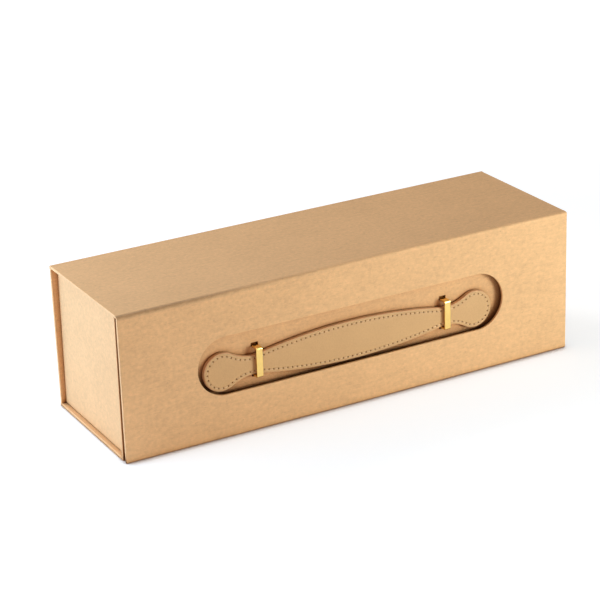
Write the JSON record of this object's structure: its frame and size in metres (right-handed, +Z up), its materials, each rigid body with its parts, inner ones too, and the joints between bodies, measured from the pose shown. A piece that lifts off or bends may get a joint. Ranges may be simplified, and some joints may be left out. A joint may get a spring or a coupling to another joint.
{
  "type": "wine bottle gift box",
  "caption": "Rigid kraft box for a wine bottle, lying on its side, with a hinged lid, a front flap with a window and a stitched leather strap handle held by brass loops.",
  "frame": {"origin": "middle of the closed box's footprint, on the surface that it stands on", "axes": "+X along the box, -Y towards the front with the handle, +Z up through the lid"},
  "size_m": [0.335, 0.106, 0.1],
  "materials": {
    "kraft_panel": "greyboard wrapped in uncoated kraft paper, matt, with a fine fibre mottle",
    "strap_leather": "smooth tan leather, stitched round the rim with pale thread",
    "loop_brass": "polished yellow brass strip",
    "magnet_metal": "plain nickel-plated disc"
  },
  "bodies": {
    "box": {"bottom_board": "kraft_panel", "back_board": "kraft_panel", "front_board": "kraft_panel", "front_lining_board": "kraft_panel", "end_board_left": "kraft_panel", "end_board_right": "kraft_panel", "handle_strap_face": "strap_leather", "handle_strap_backing": "strap_leather", "handle_loop_left": "loop_brass", "handle_loop_right": "loop_brass", "front_magnet_left": "magnet_metal", "front_magnet_right": "magnet_metal"},
    "lid": {"lid_board": "kraft_panel"},
    "flap": {"flap_board": "kraft_panel", "flap_magnet_left": "magnet_metal", "flap_magnet_right": "magnet_metal"}
  },
  "joints": [
    {"name": "lid_hinge", "type": "hinge", "parent": "box", "child": "lid", "pos_m": [0, 0.053, 0.1], "axis": [-1, 0, 0], "range_deg": [0, 180]},
    {"name": "flap_hinge", "type": "hinge", "parent": "lid", "child": "flap", "pos_m": [0, -0.053, 0.1], "axis": [-1, 0, 0], "range_deg": [0, 90]}
  ]
}
